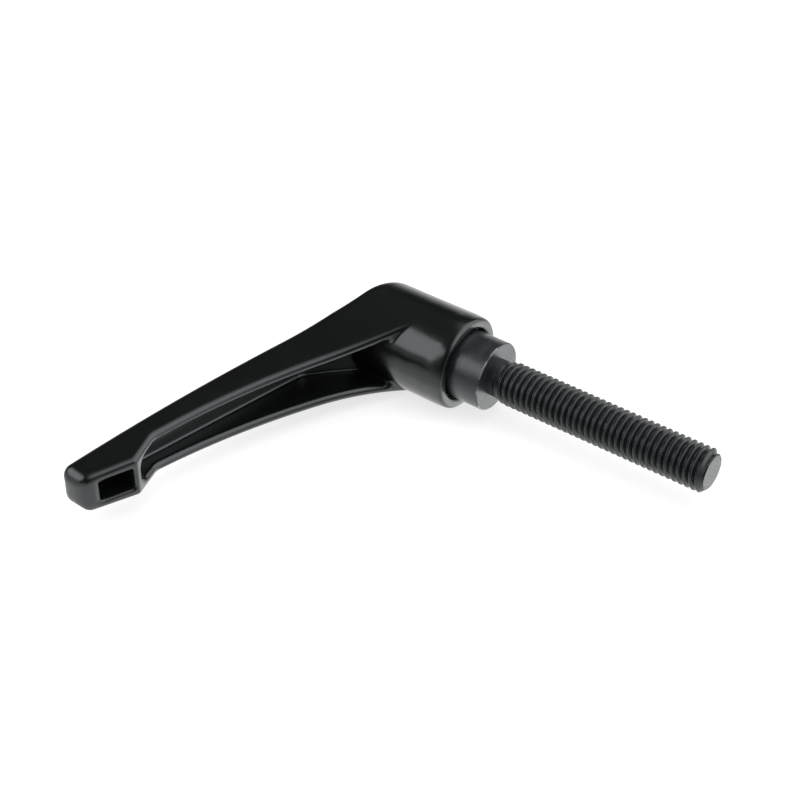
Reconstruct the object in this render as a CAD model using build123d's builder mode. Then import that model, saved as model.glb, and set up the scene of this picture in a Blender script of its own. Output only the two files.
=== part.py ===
from build123d import *
import math
import os

# Adjustable clamping lever, in millimetres.
# +X runs along the stud towards its free end, and the origin is the centre of the collar's clamping face.
# +Z is square to the lever's mid-plane, so the lever lies on its side. The arm points to -Y.
# A "reach" is a distance from the stud's axis along -Y, and a "height" is a distance from the
# clamping face along -X.

# ---- stud, neck and collar ----
stud_length = 54.1
stud_radius = 5.0
stud_end_radius = 4.2
neck_length = 2.2
neck_radius = 4.25
thread_pitch = 1.5
thread_depth = 0.92
thread_grooves = 31
collar_clearance = 0.6
collar_edge = 0.3
collar_showing = 7.7
collar_hidden = 2.2

# ---- serration between the insert and the handle ----
tooth_count = 24
tooth_depth = 0.8
tooth_inset = 0.8
tooth_clearance = 0.17
tooth_end_gap = 0.2
tooth_engagement = 4.0
index_gap = 0.4

# ---- spigot that guides the handle ----
spigot_radius = 4.8
spigot_length = 4.5
running_clearance = 0.05

# ---- retaining screw ----
shoulder_radius = 3.0
screw_thread_radius = 2.5
screw_thread_length = 7.0
screw_hole_spare = 1.5
screw_head_clearance = 0.5
screw_head_height = 3.0
screw_head_edge = 0.4
socket_width = 4.0
socket_depth = 1.8

# ---- compression spring ----
spring_wire_radius = 0.4
spring_clearance = 0.8
spring_turns = 5.0
spring_spare = 0.6

# ---- barrel of the handle ----
barrel_radius = 10.9
barrel_draft = 0.15
barrel_draft_length = 14.0
barrel_mouth_edge = 0.9
mouth_wall = 2.45
mouth_bore_depth = 2.5
mouth_bore_edge = 0.25
web_thickness = 2.0
shoulder_clearance = 0.15
recess_inset = 0.15
recess_edge = 0.5

# ---- arm: flanks, seen along the stud ----
flank_half_width = 6.75
flank_datum_reach = 25.0
flank_taper = 2.07
flare_radius = 80.0
wall = 2.25

# ---- arm: side outline, seen square to the mid-plane ----
arm_reach = 82.4
back_height_hub = 37.96
back_reach_hub = 10.0
back_height_tip = 54.4
back_radius = 538.0
crown_drop = 7.76
crease_radius = 25.0
tip_end_draft = 0.3
seam_drop = 5.1
tip_corner_drop = 7.4
tip_corner_reach = 81.9
step_crest_drop = 12.2
step_crest_reach = 71.0
lip_end_drop = 10.15
lip_end_reach = 63.3
lip_radius = 181.6
lip_root_height = 20.2
lip_root_reach = 7.2
lip_base_height = 15.0

# ---- arm: roundings ----
back_edge_radius = 2.5
lip_edge_radius = 1.1
tip_back_corner = 2.5
tip_front_corner = 2.0
step_crest_corner = 1.6
lip_bend_corner = 4.0
pocket_edge_radius = 0.4
channel_root_radius = 0.7

# ---- arm: channel and pocket ----
floor_rise = 1.34
floor_datum_reach = 22.0
floor_cover = 5.2
ramp_lean = 36.5
ramp_start_reach = 20.2
ramp_corner = 6.0
floor_corner = 0.5
channel_end_reach = 69.5
channel_end_corner = 2.2
pocket_start_reach = 71.65
pocket_end_reach = 78.9
pocket_corner = 0.6
pocket_half_width = 2.8

# ---- radii that follow from the barrel's ----
barrel_mouth_radius = barrel_radius + barrel_draft
mouth_bore_radius = barrel_mouth_radius - mouth_wall
collar_radius = mouth_bore_radius - collar_clearance
tooth_tip_radius = collar_radius - tooth_inset
tooth_root_radius = tooth_tip_radius - tooth_depth
recess_radius = barrel_radius / 2 - recess_inset
screw_head_radius = recess_radius - screw_head_clearance
spring_mean_radius = recess_radius - spring_clearance - spring_wire_radius

# ---- heights that follow from the arm's back ----
crown_height = back_height_hub - crown_drop
floor_datum_height = back_height_hub + floor_rise
floor_end_height = back_height_tip - floor_cover
seam_height = back_height_tip - seam_drop
tip_corner_height = back_height_tip - tip_corner_drop
step_crest_height = back_height_tip - step_crest_drop
lip_end_height = back_height_tip - lip_end_drop

# ---- places along the stud's axis that follow from the sizes above ----
mouth_x = -collar_showing
insert_shoulder_x = mouth_x - collar_hidden
mouth_floor_x = mouth_x - mouth_bore_depth
tooth_end_x = mouth_floor_x - tooth_engagement
spigot_end_x = tooth_end_x - spigot_length
web_outer_x = spigot_end_x - web_thickness
lift_travel = tooth_engagement + index_gap
spring_length = lift_travel + spring_turns * 2 * spring_wire_radius + spring_spare
screw_head_x = web_outer_x - spring_length
screw_top_x = screw_head_x - screw_head_height

# ---- the flanks' slope and the arcs that flare them into the barrel ----
taper_slope = math.tan(math.radians(flank_taper))
floor_slope = (floor_end_height - floor_datum_height) / (channel_end_reach - floor_datum_reach)
blank_depth = 2 * barrel_radius
barrel_end_x = web_outer_x - 2 * back_edge_radius
outline_margin = 5.0


def flank_half(reach):
    """Half the arm's width at a reach, before the flanks flare into the barrel."""
    return flank_half_width - (reach - flank_datum_reach) * taper_slope


def flare_points(inset):
    """Where the flare arc leaves the flank line and where it touches the barrel's circle, both moved
    inwards by the inset."""
    arc_radius = flare_radius + inset
    circle_radius = barrel_radius - inset
    length = math.hypot(1, taper_slope)
    along = Vector(1, taper_slope) / length
    outward = Vector(-taper_slope, 1) / length
    start = Vector(-flank_datum_reach, flank_half_width) - outward * inset
    base = start + outward * arc_radius
    middle = base.dot(along)
    reach_of_arc = math.sqrt(middle**2 - base.dot(base) + (circle_radius + arc_radius) ** 2)
    slide = -middle - reach_of_arc
    foot = start + along * slide
    centre = base + along * slide
    touch = centre * (circle_radius / (circle_radius + arc_radius))
    return foot, touch


def flank_outline(inset, end_reach):
    """The arm's outline seen along the stud, moved inwards by the inset and cut off at a reach.
    Sketch x is the row's Y, and sketch y is its Z."""
    foot, touch = flare_points(inset)
    arc_radius = flare_radius + inset
    circle_radius = barrel_radius - inset
    end = Vector(-end_reach, flank_half(end_reach) - inset * math.hypot(1, taper_slope))
    with BuildLine() as outline:
        Line(end, foot)
        RadiusArc(foot, touch, -arc_radius)
        RadiusArc(touch, (circle_radius, 0), circle_radius)
        mirror(about=Plane.XZ)
        Line(end, (end.X, -end.Y))
    return outline.edges()


def floor_x(reach):
    """The channel floor's place along X at a reach."""
    return -floor_datum_height - (reach - floor_datum_reach) * floor_slope


def corner_at(sketch, point):
    return sketch.vertices().sort_by_distance(point)[0]


def off_plane(edge):
    """Whether an edge's middle lies away from the lever's mid-plane."""
    return abs((edge @ 0.5).Z) > floor_corner


def on_back(edge):
    """Whether an edge's middle lies on the arm's back, beyond the channel's floor."""
    middle = edge @ 0.5
    return middle.X < max(floor_x(-middle.Y) + wall, -seam_height)


def outside_barrel(edge):
    """Whether an edge's middle lies outside the barrel's surface."""
    middle = edge @ 0.5
    return math.hypot(middle.Y, middle.Z) > barrel_mouth_radius


def above_base(edge):
    """Whether an edge's middle lies clear of the flat base that the barrel covers."""
    return (edge @ 0.5).X < -lip_base_height - floor_corner


def thread_points(middle_x):
    """The stud's thread as ring grooves at its pitch, set out each way from the middle of the stud."""
    points = []
    for index in range(thread_grooves):
        groove_x = middle_x + (index - (thread_grooves - 1) / 2) * thread_pitch
        points.append((groove_x - thread_pitch / 2, stud_radius))
        points.append((groove_x, stud_radius - thread_depth))
    points.append((middle_x + thread_grooves * thread_pitch / 2, stud_radius))
    return points


def star(tip_radius, root_radius):
    """The outline of the triangular serrations, as a closed ring of points."""
    points = []
    for index in range(tooth_count):
        tip_angle = index * 2 * math.pi / tooth_count
        root_angle = (index + 0.5) * 2 * math.pi / tooth_count
        points.append((tip_radius * math.cos(tip_angle), tip_radius * math.sin(tip_angle)))
        points.append((root_radius * math.cos(root_angle), root_radius * math.sin(root_angle)))
    return points


# ---- side outline of the arm ----
back_tip = Vector(-back_height_tip, tip_end_draft - arm_reach)
back_hub = Vector(-back_height_hub, -back_reach_hub)
crown_end = Vector(-crown_height, barrel_radius)
base_corner = Vector(-lip_base_height, barrel_radius)
base_inside = Vector(-lip_base_height, 0)
lip_root = Vector(-lip_root_height, -lip_root_reach)
lip_end = Vector(-lip_end_height, -lip_end_reach)
step_crest = Vector(-step_crest_height, -step_crest_reach)
tip_corner = Vector(-tip_corner_height, -tip_corner_reach)
tip_seam = Vector(-seam_height, -arm_reach)

with BuildPart() as arm_blank:
    with BuildSketch(Plane.XY) as side_outline:
        with BuildLine():
            RadiusArc(back_tip, back_hub, back_radius)
            Polyline(back_hub, crown_end, base_corner, base_inside, lip_root)
            RadiusArc(lip_root, lip_end, -lip_radius)
            Polyline(lip_end, step_crest, tip_corner, tip_seam, back_tip)
        make_face()
        fillet(corner_at(side_outline, step_crest), step_crest_corner)
        fillet(corner_at(side_outline, lip_end), lip_bend_corner)
        fillet(corner_at(side_outline, back_hub), crease_radius)
        fillet(corner_at(side_outline, back_tip), tip_back_corner)
        fillet(corner_at(side_outline, tip_corner), tip_front_corner)
    extrude(amount=blank_depth, both=True)
    with BuildSketch(Plane.YZ.offset(-back_height_tip - outline_margin)):
        make_face(flank_outline(0, arm_reach + outline_margin))
    extrude(amount=back_height_tip + outline_margin, mode=Mode.INTERSECT)
    flank_edges = arm_blank.edges().filter_by(Axis.X, reverse=True).filter_by(off_plane)
    fillet(flank_edges.filter_by(on_back), back_edge_radius)
    flank_edges = arm_blank.edges().filter_by(Axis.X, reverse=True).filter_by(off_plane)
    fillet(flank_edges.filter_by(on_back, reverse=True).filter_by(above_base), lip_edge_radius)

# ---- hollow parts of the arm, cut from the underside ----
ramp_end_reach = flank_half_width
ramp_start = Vector(floor_x(ramp_start_reach), -ramp_start_reach)
ramp_rise = (ramp_start_reach - ramp_end_reach) * math.tan(math.radians(ramp_lean))
ramp_end = Vector(ramp_start.X + ramp_rise, -ramp_end_reach)

with BuildPart() as channel:
    with BuildSketch(Plane.XY) as channel_side:
        with BuildLine():
            Polyline(
                (0, -channel_end_reach),
                (floor_x(channel_end_reach), -channel_end_reach),
                ramp_start,
                ramp_end,
                (0, -ramp_end_reach),
                close=True,
            )
        make_face()
        fillet(corner_at(channel_side, ramp_start), ramp_corner)
    extrude(amount=blank_depth, both=True)
    with BuildSketch(Plane.YZ.offset(-back_height_tip)) as channel_plan:
        make_face(flank_outline(wall, channel_end_reach))
        fillet(channel_plan.vertices().group_by(Axis.X)[0], channel_end_corner)
    extrude(amount=back_height_tip, mode=Mode.INTERSECT)
    with BuildSketch(Plane.YZ.offset(-back_height_tip)):
        Circle(barrel_radius)
    extrude(amount=back_height_tip, mode=Mode.SUBTRACT)
    fillet(channel.edges().filter_by(Axis.X).group_by(Axis.Y)[-1], channel_root_radius)
    floor_edges = channel.edges().filter_by(Axis.X, reverse=True).filter_by(off_plane)
    fillet(floor_edges.filter_by(above_base), floor_corner)

with BuildPart() as pocket:
    with BuildSketch(Plane.XY):
        with BuildLine():
            Polyline(
                (0, -pocket_end_reach),
                (floor_x(pocket_end_reach), -pocket_end_reach),
                (floor_x(pocket_start_reach), -pocket_start_reach),
                (0, -pocket_start_reach),
                close=True,
            )
        make_face()
    extrude(amount=pocket_half_width, both=True)
    fillet(pocket.edges().filter_by(Axis.X), pocket_corner)
    fillet(pocket.edges().filter_by(Axis.X, reverse=True).filter_by(above_base), floor_corner)

# ---- handle ----
barrel_profile = [
    (mouth_x, 0),
    (mouth_x, barrel_mouth_radius),
    (mouth_x - barrel_draft_length, barrel_radius),
    (barrel_end_x, barrel_radius),
    (barrel_end_x, 0),
]
bore_profile = [
    (0, 0),
    (0, mouth_bore_radius + mouth_bore_edge),
    (mouth_x, mouth_bore_radius + mouth_bore_edge),
    (mouth_x - mouth_bore_edge, mouth_bore_radius),
    (mouth_floor_x, mouth_bore_radius),
    (mouth_floor_x, spigot_radius + running_clearance),
    (spigot_end_x, spigot_radius + running_clearance),
    (spigot_end_x, shoulder_radius + shoulder_clearance),
    (web_outer_x, shoulder_radius + shoulder_clearance),
    (web_outer_x, recess_radius),
    (-back_height_tip, recess_radius),
    (-back_height_tip, 0),
]

with BuildPart() as lever_handle:
    add(arm_blank.part)
    add(channel.part, mode=Mode.SUBTRACT)
    fillet(lever_handle.edges(Select.NEW).filter_by(outside_barrel), lip_edge_radius)
    add(pocket.part, mode=Mode.SUBTRACT)
    fillet(lever_handle.edges(Select.NEW), pocket_edge_radius)
    with BuildSketch(Plane.XY) as barrel_sketch:
        with BuildLine():
            Polyline(barrel_profile, close=True)
        make_face()
        fillet(corner_at(barrel_sketch, Vector(mouth_x, barrel_mouth_radius)), barrel_mouth_edge)
    revolve(axis=Axis.X)
    with BuildSketch(Plane.XY):
        with BuildLine():
            Polyline(bore_profile, close=True)
        make_face()
    revolve(axis=Axis.X, mode=Mode.SUBTRACT)
    fillet(lever_handle.edges(Select.NEW).filter_by(on_back), recess_edge)
    with BuildSketch(Plane.YZ.offset(tooth_end_x - tooth_end_gap)):
        socket_points = star(tooth_tip_radius + tooth_clearance, tooth_root_radius + tooth_clearance)
        with BuildLine():
            Polyline(socket_points, close=True)
        make_face()
    extrude(amount=tooth_engagement + tooth_end_gap, mode=Mode.SUBTRACT)
lever_handle.part.label = "lever_handle"
export_step(lever_handle.part, "parts/lever_handle.step")

# ---- insert with its collar and stud, one turned piece ----
screw_hole_radius = screw_thread_radius + running_clearance
screw_hole_depth = screw_thread_length + screw_hole_spare
end_chamfer = stud_radius - stud_end_radius
neck_chamfer = stud_radius - neck_radius
thread_from_x = neck_length + neck_chamfer
thread_to_x = stud_length - end_chamfer
stud_profile = [
    (spigot_end_x, 0),
    (spigot_end_x, spigot_radius - collar_edge),
    (spigot_end_x + collar_edge, spigot_radius),
    (tooth_end_x, spigot_radius),
    (tooth_end_x, tooth_root_radius),
    (insert_shoulder_x, tooth_root_radius),
    (insert_shoulder_x, collar_radius),
    (0, collar_radius),
    (0, neck_radius),
    (neck_length, neck_radius),
    (thread_from_x, stud_radius),
    *thread_points((thread_from_x + thread_to_x) / 2),
    (thread_to_x, stud_radius),
    (stud_length, stud_end_radius),
    (stud_length, 0),
]

with BuildPart() as threaded_stud:
    with BuildSketch(Plane.XY) as stud_sketch:
        with BuildLine():
            Polyline(stud_profile, close=True)
        make_face()
        fillet(corner_at(stud_sketch, Vector(0, collar_radius)), collar_edge)
    revolve(axis=Axis.X)
    with BuildSketch(Plane.YZ.offset(tooth_end_x)):
        with BuildLine():
            Polyline(star(tooth_tip_radius, tooth_root_radius), close=True)
        make_face()
    extrude(amount=insert_shoulder_x - tooth_end_x)
    with BuildSketch(Plane.YZ.offset(spigot_end_x)):
        Circle(screw_hole_radius)
    extrude(amount=screw_hole_depth, mode=Mode.SUBTRACT)
threaded_stud.part.label = "threaded_stud"
export_step(threaded_stud.part, "parts/threaded_stud.step")

# ---- retaining screw ----
screw_profile = [
    (screw_top_x, 0),
    (screw_top_x, screw_head_radius - screw_head_edge),
    (screw_top_x + screw_head_edge, screw_head_radius),
    (screw_head_x, screw_head_radius),
    (screw_head_x, shoulder_radius),
    (spigot_end_x, shoulder_radius),
    (spigot_end_x, screw_thread_radius),
    (spigot_end_x + screw_thread_length, screw_thread_radius),
    (spigot_end_x + screw_thread_length, 0),
]

with BuildPart() as retaining_screw:
    with BuildSketch(Plane.XY):
        with BuildLine():
            Polyline(screw_profile, close=True)
        make_face()
    revolve(axis=Axis.X)
    with BuildSketch(Plane.YZ.offset(screw_top_x)):
        RegularPolygon(radius=socket_width / 2, side_count=6, major_radius=False)
    extrude(amount=socket_depth, mode=Mode.SUBTRACT)
retaining_screw.part.label = "retaining_screw"
export_step(retaining_screw.part, "parts/retaining_screw.step")

# ---- compression spring, its ends ground flat ----
with BuildPart() as compression_spring:
    with BuildLine() as coil:
        Helix(
            pitch=spring_length / spring_turns,
            height=spring_length,
            radius=spring_mean_radius,
            center=(screw_head_x, 0, 0),
            direction=(1, 0, 0),
        )
    with BuildSketch(Plane(origin=coil.line @ 0, z_dir=coil.line % 0)):
        Circle(spring_wire_radius)
    sweep(is_frenet=True)
    with BuildSketch(Plane.YZ.offset(screw_head_x)):
        Circle(recess_radius)
    extrude(amount=spring_length, mode=Mode.INTERSECT)
compression_spring.part.label = "compression_spring"
export_step(compression_spring.part, "parts/compression_spring.step")
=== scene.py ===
import math

import bmesh
import bpy
from mathutils import Euler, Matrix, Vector


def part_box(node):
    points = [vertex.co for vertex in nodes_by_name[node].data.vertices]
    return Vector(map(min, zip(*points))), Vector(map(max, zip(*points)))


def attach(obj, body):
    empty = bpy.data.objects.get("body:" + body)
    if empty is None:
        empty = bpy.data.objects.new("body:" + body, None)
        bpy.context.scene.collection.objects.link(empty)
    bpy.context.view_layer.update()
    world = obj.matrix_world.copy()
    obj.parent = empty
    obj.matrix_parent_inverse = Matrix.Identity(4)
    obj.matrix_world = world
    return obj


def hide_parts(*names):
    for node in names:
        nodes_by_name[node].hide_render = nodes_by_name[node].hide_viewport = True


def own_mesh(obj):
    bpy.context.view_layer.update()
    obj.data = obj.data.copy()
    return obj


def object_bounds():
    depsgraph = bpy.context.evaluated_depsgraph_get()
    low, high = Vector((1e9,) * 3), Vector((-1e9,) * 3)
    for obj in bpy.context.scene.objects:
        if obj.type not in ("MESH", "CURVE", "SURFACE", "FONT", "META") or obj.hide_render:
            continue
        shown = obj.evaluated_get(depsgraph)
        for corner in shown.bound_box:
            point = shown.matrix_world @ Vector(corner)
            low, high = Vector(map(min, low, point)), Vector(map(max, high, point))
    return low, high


# Adjustable clamping lever lying on its side, in metres.
# +X runs along the stud to its free end, -Y along the arm, and +Z is square to the lever's mid-plane.

MM = 0.001

# M10 x 1.5 coarse thread, cut right hand
THREAD_PITCH = 1.5 * MM
THREAD_ROOT = 4.08 * MM
THREAD_CREST = 4.99 * MM
THREAD_STEPS = 48
CREST_FLAT = 0.12 * THREAD_PITCH
ROOT_FLAT = 0.17 * THREAD_PITCH
CREST_SHOULDER = 0.025 * THREAD_PITCH
EDGE_EASE = 0.03 * MM
NECK_END = 1.6 * MM
NECK_LAP = 0.2 * MM
NECK_RADIUS = 4.25 * MM
RUN_IN_LENGTH = 2.6 * MM
END_CHAMFER = 1.1 * MM

# the barrel's outer skin by its mouth, which falls away as the square of the distance along it
FALL_LENGTH = 2.4 * MM
FALL_START = 3.3 * MM
FALL_RATE = 29.0
FALL_CUTS = (0.0, 0.6, 1.2, 1.8, 2.35)
SKIN_RADIUS = 10.6 * MM
FALL_INNER_RADIUS = 10.15 * MM
FALL_BLEND = 0.85 * MM

# coordinates closer than this are one point
SAME_POINT = 0.002 * MM

# how widely the coat's shading eases its edges, which grows towards the arm's tip
COAT_EASE = 1.0 * MM
TIP_EASE = 2.1 * MM
TIP_EASE_FROM = -76.0 * MM
TIP_EASE_TO = -80.5 * MM

# the floor and the light around the object
FLOOR_SIZE = 4.0
FLOOR_GAP = 0.05 * MM
FLOOR_GLOW = 0.7
FLOOR_PAINT = 0.5
FILL_LIGHT = 0.5
DARKEST_ROOM = 0.02

CAMERA_PLACE = (0.185086, -0.293922, 0.284416)
CAMERA_TILT_DEG = 49.97
CAMERA_TURN_DEG = 35.70
CAMERA_LENS_MM = 91.4
CAMERA_SENSOR_MM = 36
CAMERA_SHIFT = 0.000625

# greys of the studio against the sine of the height above the floor, seen only in gloss
ROOM_GREYS = [
    (-1.0, 0.95), (-0.7, 1.0), (-0.57, 0.7), (-0.42, 0.68), (-0.26, 0.5), (-0.09, 0.26),
    (0.0, 0.1), (0.09, 0.03), (0.6, 0.025), (1.0, 0.06),
]

# soft panels in the gloss: azimuth, elevation, half width, half height and soft edge in degrees, glow,
# which is below zero for a black card
PANELS = [
    (36, 24, 36, 34, 12, 1.5),
    (40, 68, 40, 15, 12, 0.9),
    (108, -8, 20, 18, 12, 0.7),
    (-138, 6, 22, 14, 12, 0.45),
    (62, -40, 17, 15, 9, 1.0),
    (-30, -13, 24, 11, 10, -0.42),
]


# ---- small helpers for node trees ----

def maths(tree, operation, first, second=0.0):
    """One step of arithmetic on two numbers or sockets."""
    node = tree.nodes.new("ShaderNodeMath")
    node.operation = operation
    for socket, value in zip(node.inputs, (first, second)):
        if isinstance(value, (int, float)):
            socket.default_value = value
        else:
            tree.links.new(value, socket)
    return node.outputs[0]


def colour_ramp(tree, value, stops):
    ramp = tree.nodes.new("ShaderNodeValToRGB")
    band = ramp.color_ramp
    for element, (position, colour) in zip(band.elements, (stops[0], stops[-1])):
        element.position = position
        element.color = (*colour, 1)
    for position, colour in stops[1:-1]:
        band.elements.new(position).color = (*colour, 1)
    tree.links.new(value, ramp.inputs["Fac"])
    return ramp.outputs["Color"]


# ---- small helpers for materials ----

def finish_material(name, roughness, specular, ior=1.5, metallic=0.0):
    material = bpy.data.materials.new(name)
    material.use_nodes = True
    shader = material.node_tree.nodes["Principled BSDF"]
    shader.inputs["Roughness"].default_value = roughness
    shader.inputs["Specular IOR Level"].default_value = specular
    shader.inputs["Specular Tint"].default_value = (0.93, 0.98, 1.0, 1)
    shader.inputs["IOR"].default_value = ior
    shader.inputs["Metallic"].default_value = metallic
    return material, shader


def placed_on(material, stretch=(1, 1, 1)):
    """The piece's own coordinates in metres, stretched where a pattern runs one way."""
    nodes = material.node_tree.nodes
    place = nodes.new("ShaderNodeTexCoord")
    mapping = nodes.new("ShaderNodeMapping")
    mapping.inputs["Scale"].default_value = stretch
    material.node_tree.links.new(place.outputs["Object"], mapping.inputs["Vector"])
    return mapping.outputs["Vector"]


def mottle(material, where, scale, detail=3.0, roughness=0.5):
    nodes = material.node_tree.nodes
    noise = nodes.new("ShaderNodeTexNoise")
    noise.inputs["Scale"].default_value = scale
    noise.inputs["Detail"].default_value = detail
    noise.inputs["Roughness"].default_value = roughness
    material.node_tree.links.new(where, noise.inputs["Vector"])
    return noise.outputs["Fac"]


def turning_marks(material, where, scale, shape, distortion):
    """Lathe marks: bands run round a turned side, rings run round a faced end."""
    nodes = material.node_tree.nodes
    wave = nodes.new("ShaderNodeTexWave")
    wave.wave_type = shape
    if shape == "RINGS":
        wave.rings_direction = "X"
    else:
        wave.bands_direction = "X"
    wave.inputs["Scale"].default_value = scale
    wave.inputs["Distortion"].default_value = distortion
    wave.inputs["Detail"].default_value = 3.0
    wave.inputs["Detail Scale"].default_value = 2.0
    material.node_tree.links.new(where, wave.inputs["Vector"])
    return wave.outputs["Fac"]


def rounded_edges(material, radius):
    """The way the surface faces, its edges eased over a short way that may vary from place to place."""
    ease = material.node_tree.nodes.new("ShaderNodeBevel")
    ease.samples = 8
    if isinstance(radius, float):
        ease.inputs["Radius"].default_value = radius
    else:
        material.node_tree.links.new(radius, ease.inputs["Radius"])
    return ease.outputs["Normal"]


def parts_of(material, where):
    """The X, Y and Z sockets of a place."""
    parts = material.node_tree.nodes.new("ShaderNodeSeparateXYZ")
    material.node_tree.links.new(where, parts.inputs[0])
    return parts.outputs


def between(material, value, low, high, out_low, out_high):
    nodes = material.node_tree.nodes
    spread = nodes.new("ShaderNodeMapRange")
    spread.inputs["From Min"].default_value = low
    spread.inputs["From Max"].default_value = high
    spread.inputs["To Min"].default_value = out_low
    spread.inputs["To Max"].default_value = out_high
    material.node_tree.links.new(value, spread.inputs["Value"])
    return spread.outputs["Result"]


def tint(material, value, stops):
    return colour_ramp(material.node_tree, value, stops)


def relief(material, height, strength, depth, under=None):
    nodes = material.node_tree.nodes
    bump = nodes.new("ShaderNodeBump")
    bump.inputs["Strength"].default_value = strength
    bump.inputs["Distance"].default_value = depth
    material.node_tree.links.new(height, bump.inputs["Height"])
    if under is not None:
        material.node_tree.links.new(under, bump.inputs["Normal"])
    return bump.outputs["Normal"]


# ---- finishes ----

def black_powder_coat():
    """Baked black coat on the die casting: smooth, glossy, with a faint orange peel."""
    material, shader = finish_material("black_powder_coat", 0.24, 1.0)
    links = material.node_tree.links
    where = placed_on(material)
    cloud = mottle(material, where, 90.0, 4.0)
    peel = mottle(material, where, 1400.0, 2.0, 0.4)
    grit = mottle(material, where, 6000.0, 2.0, 0.6)
    shade = tint(material, cloud, [(0.3, (0.0040, 0.0044, 0.0045)), (0.7, (0.0056, 0.0060, 0.0060))])
    links.new(shade, shader.inputs["Base Color"])
    links.new(between(material, cloud, 0.3, 0.7, 0.17, 0.23), shader.inputs["Roughness"])
    along_arm = parts_of(material, where)["Y"]
    easing = between(material, along_arm, TIP_EASE_FROM, TIP_EASE_TO, COAT_EASE, TIP_EASE)
    bumps = relief(material, peel, 0.08, 0.02 * MM, rounded_edges(material, easing))
    bumps = relief(material, grit, 0.05, 0.005 * MM, bumps)
    links.new(bumps, shader.inputs["Normal"])
    return material


def painted_edge_highlight(material, radius, patches):
    """Where a highlight is painted: 1 along sharp edges, broken up by patches, and 0 elsewhere."""
    nodes = material.node_tree.nodes
    links = material.node_tree.links
    facing = nodes.new("ShaderNodeNewGeometry")
    likeness = nodes.new("ShaderNodeVectorMath")
    likeness.operation = "DOT_PRODUCT"
    links.new(facing.outputs["Normal"], likeness.inputs[0])
    links.new(rounded_edges(material, radius), likeness.inputs[1])
    edge = between(material, likeness.outputs["Value"], 0.995, 0.93, 0, 1)
    return maths(material.node_tree, "MULTIPLY", edge, between(material, patches, 0.35, 0.6, 0.25, 1))


def painted_rim_highlight(material, where, patches):
    """Where a highlight is painted on the collar's outer corner, found by its distance along and out
    from the axis.
    """
    nodes = material.node_tree.nodes
    links = material.node_tree.links
    parts = parts_of(material, where)
    across = nodes.new("ShaderNodeCombineXYZ")
    links.new(parts["Y"], across.inputs["Y"])
    links.new(parts["Z"], across.inputs["Z"])
    outward = nodes.new("ShaderNodeVectorMath")
    outward.operation = "LENGTH"
    links.new(across.outputs[0], outward.inputs[0])
    reach = maths(material.node_tree, "ADD", parts["X"], outward.outputs["Value"])
    corner = between(material, reach, 7.68 * MM, 7.78 * MM, 0, 1)
    return maths(material.node_tree, "MULTIPLY", corner, between(material, patches, 0.46, 0.6, 0, 1))


def mixed(material, amount, first, second):
    nodes = material.node_tree.nodes
    blend = nodes.new("ShaderNodeMix")
    blend.data_type = "RGBA"
    material.node_tree.links.new(amount, blend.inputs["Factor"])
    for socket, colour in (("A", first), ("B", second)):
        if isinstance(colour, tuple):
            blend.inputs[socket].default_value = (*colour, 1)
        else:
            material.node_tree.links.new(colour, blend.inputs[socket])
    return blend.outputs["Result"]


def blackened_steel():
    """Oil-blackened turned steel: dark, cool, with uneven lathe marks and a painted highlight in bright
    metal along the rim.
    """
    material, shader = finish_material("blackened_steel", 0.3, 0.45, ior=1.9)
    links = material.node_tree.links
    where = placed_on(material)
    round_the_side = placed_on(material, (1, 0.06, 0.06))
    cloud = mottle(material, where, 260.0, 4.0)
    fine = mottle(material, where, 2600.0, 3.0, 0.6)
    streaks = mottle(material, round_the_side, 2600.0, 4.0, 0.65)
    rings = turning_marks(material, where, 1100.0, "RINGS", 1.5)
    # painted highlight: the collar's outer corner turns to bright bare metal, standing in for the light
    # it catches
    painted_highlight = painted_rim_highlight(material, where, cloud)
    shade = tint(material, cloud, [(0.3, (0.009, 0.0115, 0.0125)), (0.7, (0.018, 0.0215, 0.0225))])
    scored = mixed(material, between(material, streaks, 0.6, 0.75, 0, 0.6), shade, (0.06, 0.066, 0.07))
    links.new(mixed(material, painted_highlight, scored, (0.42, 0.43, 0.44)), shader.inputs["Base Color"])
    links.new(between(material, painted_highlight, 0, 1, 0, 0.8), shader.inputs["Metallic"])
    links.new(between(material, streaks, 0.35, 0.7, 0.26, 0.38), shader.inputs["Roughness"])
    bumps = relief(material, streaks, 0.2, 0.006 * MM)
    bumps = relief(material, rings, 0.06, 0.01 * MM, bumps)
    bumps = relief(material, fine, 0.12, 0.006 * MM, bumps)
    links.new(bumps, shader.inputs["Normal"])
    return material


def thread_steel():
    """The same steel on the cut thread: a painted highlight along the crests' edges, and the end face
    turned.
    """
    material, shader = finish_material("blackened_thread", 0.32, 0.33, ior=1.9)
    links = material.node_tree.links
    where = placed_on(material)
    cloud = mottle(material, where, 420.0, 5.0, 0.6)
    grain = mottle(material, where, 3500.0, 3.0, 0.6)
    rings = turning_marks(material, where, 480.0, "RINGS", 5.0)
    # painted highlight: the crest edges get a lighter colour that stands in for the light they catch
    painted_highlight = painted_edge_highlight(material, 0.07 * MM, grain)
    shade = tint(material, cloud, [(0.3, (0.004, 0.0046, 0.005)), (0.7, (0.010, 0.0115, 0.0125))])
    links.new(mixed(material, painted_highlight, shade, (0.26, 0.26, 0.27)), shader.inputs["Base Color"])
    links.new(between(material, rings, 0, 1, 0.24, 0.42), shader.inputs["Roughness"])
    bumps = relief(material, rings, 0.3, 0.02 * MM)
    links.new(relief(material, grain, 0.15, 0.01 * MM, bumps), shader.inputs["Normal"])
    return material


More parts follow.
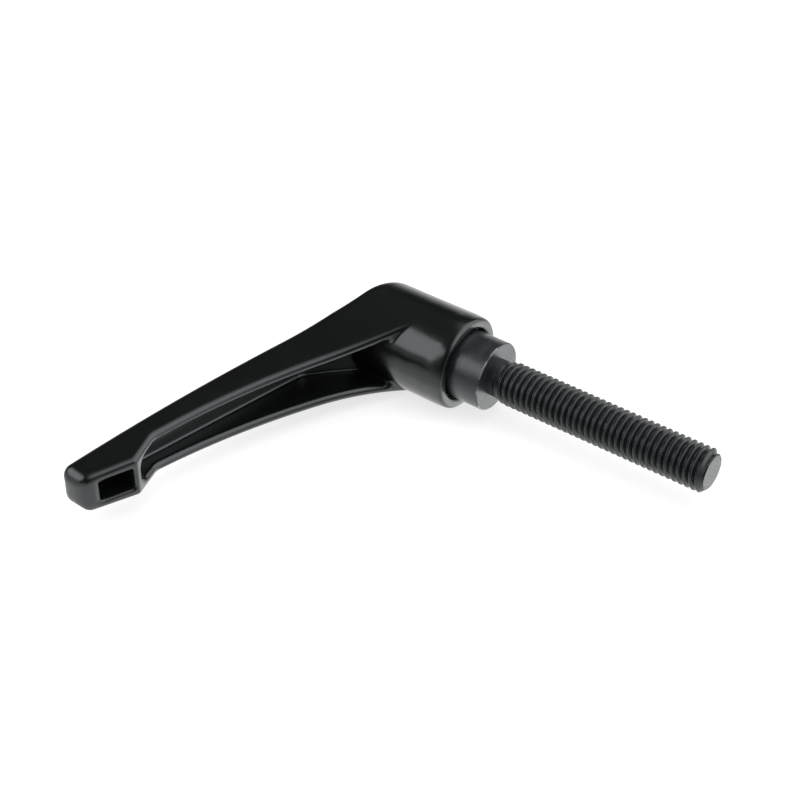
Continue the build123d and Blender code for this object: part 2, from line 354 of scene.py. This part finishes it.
def screw_steel():
    """Black oxide on the retaining screw, a little lighter than the insert."""
    material, shader = finish_material("screw_black_oxide", 0.3, 0.6, ior=1.9)
    links = material.node_tree.links
    where = placed_on(material)
    cloud = mottle(material, where, 500.0, 4.0)
    rings = turning_marks(material, where, 1600.0, "RINGS", 1.0)
    shade = tint(material, cloud, [(0.3, (0.012, 0.0125, 0.013)), (0.7, (0.022, 0.023, 0.024))])
    links.new(shade, shader.inputs["Base Color"])
    links.new(between(material, cloud, 0.3, 0.7, 0.26, 0.38), shader.inputs["Roughness"])
    links.new(relief(material, rings, 0.1, 0.01 * MM), shader.inputs["Normal"])
    return material


def spring_wire():
    """Bright drawn wire with a faint grain."""
    material, shader = finish_material("drawn_spring_wire", 0.3, 0.5, metallic=1.0)
    links = material.node_tree.links
    where = placed_on(material)
    cloud = mottle(material, where, 700.0, 4.0)
    draw = mottle(material, where, 5000.0, 2.0)
    shade = tint(material, cloud, [(0.3, (0.34, 0.34, 0.35)), (0.7, (0.50, 0.50, 0.50))])
    links.new(shade, shader.inputs["Base Color"])
    links.new(between(material, cloud, 0.3, 0.7, 0.24, 0.38), shader.inputs["Roughness"])
    links.new(relief(material, draw, 0.1, 0.01 * MM), shader.inputs["Normal"])
    return material


# ---- pieces ----

def add_piece(name, bm, material):
    mesh = bpy.data.meshes.new(name)
    bm.to_mesh(mesh)
    bm.free()
    if "custom_normal" in mesh.attributes:
        mesh.attributes.remove(mesh.attributes["custom_normal"])
    mesh.materials.clear()
    mesh.materials.append(material)
    piece = bpy.data.objects.new(name, mesh)
    bpy.context.scene.collection.objects.link(piece)
    return piece


def merged_node(node):
    """A copy of a CAD node's mesh with its loose triangles joined up."""
    bm = bmesh.new()
    bm.from_mesh(node.data)
    bmesh.ops.remove_doubles(bm, verts=bm.verts, dist=SAME_POINT)
    return bm


def soften(bm, sharp_degrees):
    """Smooth shading, kept crisp along the edges that turn by more than an angle."""
    for face in bm.faces:
        face.smooth = True
    limit = math.radians(sharp_degrees)
    for edge in bm.edges:
        edge.smooth = edge.is_manifold and edge.calc_face_angle(0) < limit


def even_normals(piece):
    weighted = piece.modifiers.new("even normals", "WEIGHTED_NORMAL")
    weighted.keep_sharp = True
    weighted.weight = 80


def cut_off(bm, place, outward):
    """Cuts away what lies beyond a plane square to the stud's axis, and closes the cut."""
    cut = bmesh.ops.bisect_plane(
        bm, geom=bm.verts[:] + bm.edges[:] + bm.faces[:], dist=0,
        plane_co=(place, 0, 0), plane_no=(outward, 0, 0), clear_outer=True,
    )
    rim = [part for part in cut["geom_cut"] if isinstance(part, bmesh.types.BMEdge)]
    bmesh.ops.edgeloop_fill(bm, edges=rim)


def crown_mouth(bm, mouth):
    """The barrel's outside falls away a little towards its mouth."""
    start = mouth - FALL_START
    for place in FALL_CUTS:
        skin = [
            face for face in bm.faces
            if max(v.co.x for v in face.verts) > start
            and min(math.hypot(v.co.y, v.co.z) for v in face.verts) > SKIN_RADIUS
        ]
        edges = list(dict.fromkeys(edge for face in skin for edge in face.edges))
        verts = list(dict.fromkeys(vert for face in skin for vert in face.verts))
        bmesh.ops.bisect_plane(
            bm, geom=skin + edges + verts, dist=0,
            plane_co=(start + place * MM, 0, 0), plane_no=(1, 0, 0),
        )
    for vert in bm.verts:
        radius = math.hypot(vert.co.y, vert.co.z)
        along_barrel = min(vert.co.x - start, FALL_LENGTH)
        if along_barrel > 0 and radius > FALL_INNER_RADIUS:
            share = min(1, (radius - FALL_INNER_RADIUS) / FALL_BLEND)
            fall = share * FALL_RATE * along_barrel * along_barrel
            vert.co.y *= (radius - fall) / radius
            vert.co.z *= (radius - fall) / radius


def die_cast_handle(node, coat):
    bm = merged_node(node)
    crown_mouth(bm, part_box("lever_handle")[1].x)
    soften(bm, 28)
    handle = add_piece("coated_handle", bm, coat)
    even_normals(handle)
    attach(handle, "handle")
    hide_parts("lever_handle")


def turned_insert(node, steel):
    """The collar, serrations and spigot, from the CAD solid cut off at the neck."""
    bm = merged_node(node)
    cut_off(bm, NECK_END, 1)
    soften(bm, 28)
    insert = add_piece("turned_insert", bm, steel)
    even_normals(insert)
    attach(insert, "stud")
    return insert


def cut_thread(free_end, steel):
    """One pitch of 60 degree thread form, wound along the stud and trimmed at both ends."""
    bm = bmesh.new()
    crest_from = (THREAD_PITCH - CREST_FLAT) / 2
    crest_to = (THREAD_PITCH + CREST_FLAT) / 2
    form = [
        (0, THREAD_ROOT),
        (ROOT_FLAT / 2, THREAD_ROOT + EDGE_EASE / 2),
        (crest_from - CREST_SHOULDER, THREAD_CREST - EDGE_EASE),
        (crest_from, THREAD_CREST),
        (crest_to, THREAD_CREST),
        (crest_to + CREST_SHOULDER, THREAD_CREST - EDGE_EASE),
        (THREAD_PITCH - ROOT_FLAT / 2, THREAD_ROOT + EDGE_EASE / 2),
        (THREAD_PITCH, THREAD_ROOT),
    ]
    start = NECK_END - 1.5 * THREAD_PITCH
    turns = math.ceil((free_end - start) / THREAD_PITCH) + 1
    points = [bm.verts.new((start + along, 0, radius)) for along, radius in form]
    strip = [bm.edges.new(pair) for pair in zip(points, points[1:])]
    bmesh.ops.spin(
        bm,
        geom=points + strip,
        cent=(0, 0, 0),
        axis=(1, 0, 0),
        dvec=(THREAD_PITCH / THREAD_STEPS, 0, 0),
        angle=math.radians(360 * turns),
        steps=THREAD_STEPS * turns,
        use_merge=False,
    )
    bmesh.ops.remove_doubles(bm, verts=bm.verts, dist=SAME_POINT)
    cut_off(bm, NECK_END - NECK_LAP, -1)
    cut_off(bm, free_end, 1)
    for vert in bm.verts:
        radius = math.hypot(vert.co.y, vert.co.z)
        run_in = max(0, vert.co.x - NECK_END) / RUN_IN_LENGTH
        limit = NECK_RADIUS + (THREAD_CREST - NECK_RADIUS) * min(1, run_in)
        limit = min(limit, THREAD_CREST - END_CHAMFER + (free_end - vert.co.x))
        if radius > limit:
            vert.co.y *= limit / radius
            vert.co.z *= limit / radius
    bmesh.ops.recalc_face_normals(bm, faces=bm.faces)
    soften(bm, 25)
    thread = add_piece("cut_thread", bm, steel)
    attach(thread, "stud")


def coiled_spring(node, wire):
    bm = merged_node(node)
    soften(bm, 40)
    spring = add_piece("coiled_spring", bm, wire)
    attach(spring, "spring")
    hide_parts("compression_spring")
    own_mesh(spring)


# ---- studio ----

def pale_floor(height):
    """A grey sheet that keeps its shadow, with a glow that only the camera sees."""
    bm = bmesh.new()
    bmesh.ops.create_grid(bm, x_segments=1, y_segments=1, size=FLOOR_SIZE / 2)
    bmesh.ops.translate(bm, verts=bm.verts, vec=(0, 0, height))
    material = bpy.data.materials.new("pale_floor")
    material.use_nodes = True
    nodes = material.node_tree.nodes
    links = material.node_tree.links
    nodes.clear()
    path = nodes.new("ShaderNodeLightPath")
    glow = nodes.new("ShaderNodeEmission")
    glow.inputs["Color"].default_value = (1, 1, 1, 1)
    strength = maths(material.node_tree, "MULTIPLY", path.outputs["Is Camera Ray"], FLOOR_GLOW)
    links.new(strength, glow.inputs["Strength"])
    paint = nodes.new("ShaderNodeBsdfDiffuse")
    paint.inputs["Color"].default_value = (FLOOR_PAINT, FLOOR_PAINT, FLOOR_PAINT, 1)
    both = nodes.new("ShaderNodeAddShader")
    out = nodes.new("ShaderNodeOutputMaterial")
    links.new(glow.outputs[0], both.inputs[0])
    links.new(paint.outputs[0], both.inputs[1])
    links.new(both.outputs[0], out.inputs["Surface"])
    floor = add_piece("floor", bm, material)
    floor.visible_glossy = False


def along(tree, direction, axis):
    node = tree.nodes.new("ShaderNodeVectorMath")
    node.operation = "DOT_PRODUCT"
    node.inputs[1].default_value = axis
    tree.links.new(direction, node.inputs[0])
    return node.outputs["Value"]


def glowing_panel(tree, direction, azimuth, elevation, half_width, half_height, softness, strength):
    """A soft-edged panel hung far off: its middle and half sizes are angles in degrees."""
    turn = Euler((0, math.radians(-elevation), math.radians(azimuth)), "XYZ").to_matrix()
    forward = maths(tree, "MAXIMUM", along(tree, direction, turn @ Vector((1, 0, 0))), 0.001)
    inside = strength
    for axis, half in ((Vector((0, 1, 0)), half_width), (Vector((0, 0, 1)), half_height)):
        aside = maths(tree, "DIVIDE", along(tree, direction, turn @ axis), forward)
        angle = maths(tree, "ABSOLUTE", maths(tree, "ARCTANGENT", aside))
        edge = tree.nodes.new("ShaderNodeMapRange")
        edge.interpolation_type = "SMOOTHSTEP"
        edge.inputs["From Min"].default_value = math.radians(half + softness)
        edge.inputs["From Max"].default_value = math.radians(half - softness)
        tree.links.new(angle, edge.inputs["Value"])
        inside = maths(tree, "MULTIPLY", edge.outputs["Result"], inside)
    return inside


def studio_world():
    """White to the camera, even to soft light, and to gloss a dim room with a table and soft panels."""
    world = bpy.data.worlds.new("studio")
    bpy.context.scene.world = world
    world.use_nodes = True
    tree = world.node_tree
    nodes = tree.nodes
    links = tree.links
    nodes.clear()
    place = nodes.new("ShaderNodeTexCoord")
    direction = place.outputs["Generated"]
    rise = maths(tree, "MULTIPLY", maths(tree, "ADD", along(tree, direction, (0, 0, 1)), 1.0), 0.5)
    light = colour_ramp(tree, rise, [((height + 1) / 2, (grey,) * 3) for height, grey in ROOM_GREYS])
    for panel in PANELS:
        light = maths(tree, "ADD", light, glowing_panel(tree, direction, *panel))
    light = maths(tree, "MAXIMUM", light, DARKEST_ROOM)
    gloss, fill, white = (nodes.new("ShaderNodeBackground") for _ in range(3))
    for background in (gloss, fill, white):
        background.inputs["Color"].default_value = (1, 1, 1, 1)
    links.new(light, gloss.inputs["Strength"])
    fill.inputs["Strength"].default_value = FILL_LIGHT
    white.inputs["Strength"].default_value = 1.0
    path = nodes.new("ShaderNodeLightPath")
    soft = nodes.new("ShaderNodeMixShader")
    links.new(path.outputs["Is Diffuse Ray"], soft.inputs["Fac"])
    links.new(gloss.outputs[0], soft.inputs[1])
    links.new(fill.outputs[0], soft.inputs[2])
    seen = nodes.new("ShaderNodeMixShader")
    links.new(path.outputs["Is Camera Ray"], seen.inputs["Fac"])
    links.new(soft.outputs[0], seen.inputs[1])
    links.new(white.outputs[0], seen.inputs[2])
    out = nodes.new("ShaderNodeOutputWorld")
    links.new(seen.outputs[0], out.inputs["Surface"])


def soft_box(name, azimuth, elevation, distance, width, height, power, in_gloss=True):
    """A rectangular lamp that faces the origin: angles in degrees, sizes in metres, power in watts."""
    data = bpy.data.lights.new(name, "AREA")
    data.shape = "RECTANGLE"
    data.size = width
    data.size_y = height
    data.energy = power
    lamp = bpy.data.objects.new(name, data)
    bpy.context.scene.collection.objects.link(lamp)
    a, e = math.radians(azimuth), math.radians(elevation)
    towards = Vector((math.cos(e) * math.cos(a), math.cos(e) * math.sin(a), math.sin(e)))
    lamp.location = towards * distance
    lamp.rotation_euler = towards.to_track_quat("Z", "Y").to_euler()
    lamp.visible_glossy = in_gloss


def aim_camera():
    data = bpy.data.cameras.new("camera")
    camera = bpy.data.objects.new("camera", data)
    bpy.context.scene.collection.objects.link(camera)
    camera.location = CAMERA_PLACE
    turn = (math.radians(CAMERA_TILT_DEG), 0, math.radians(CAMERA_TURN_DEG))
    camera.rotation_euler = Euler(turn, "XYZ")
    data.sensor_width = CAMERA_SENSOR_MM
    data.lens = CAMERA_LENS_MM
    data.shift_x = -CAMERA_SHIFT
    data.shift_y = CAMERA_SHIFT
    bpy.context.scene.camera = camera


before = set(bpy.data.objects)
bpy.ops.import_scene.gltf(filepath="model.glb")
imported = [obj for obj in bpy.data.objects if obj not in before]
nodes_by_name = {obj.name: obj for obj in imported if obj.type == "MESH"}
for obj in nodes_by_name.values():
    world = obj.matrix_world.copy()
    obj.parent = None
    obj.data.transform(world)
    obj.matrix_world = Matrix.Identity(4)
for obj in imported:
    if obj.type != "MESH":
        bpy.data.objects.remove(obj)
cad_low, cad_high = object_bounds()

coat = black_powder_coat()
steel = blackened_steel()
die_cast_handle(nodes_by_name["lever_handle"], coat)
insert = turned_insert(nodes_by_name["threaded_stud"], steel)
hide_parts("threaded_stud")
cut_thread(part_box("threaded_stud")[1].x, thread_steel())
coiled_spring(nodes_by_name["compression_spring"], spring_wire())
screw = nodes_by_name["retaining_screw"]
screw.data.materials.clear()
screw.data.materials.append(screw_steel())

pale_floor(cad_low[2] - FLOOR_GAP)
studio_world()
soft_box("key_box", azimuth=-143, elevation=34, distance=0.9, width=0.88, height=0.62, power=2.8)
soft_box(
    "overhead", azimuth=60, elevation=88, distance=1.3, width=1.6, height=1.6, power=11.0, in_gloss=False
)
aim_camera()

bpy.context.scene.view_settings.view_transform = "Standard"
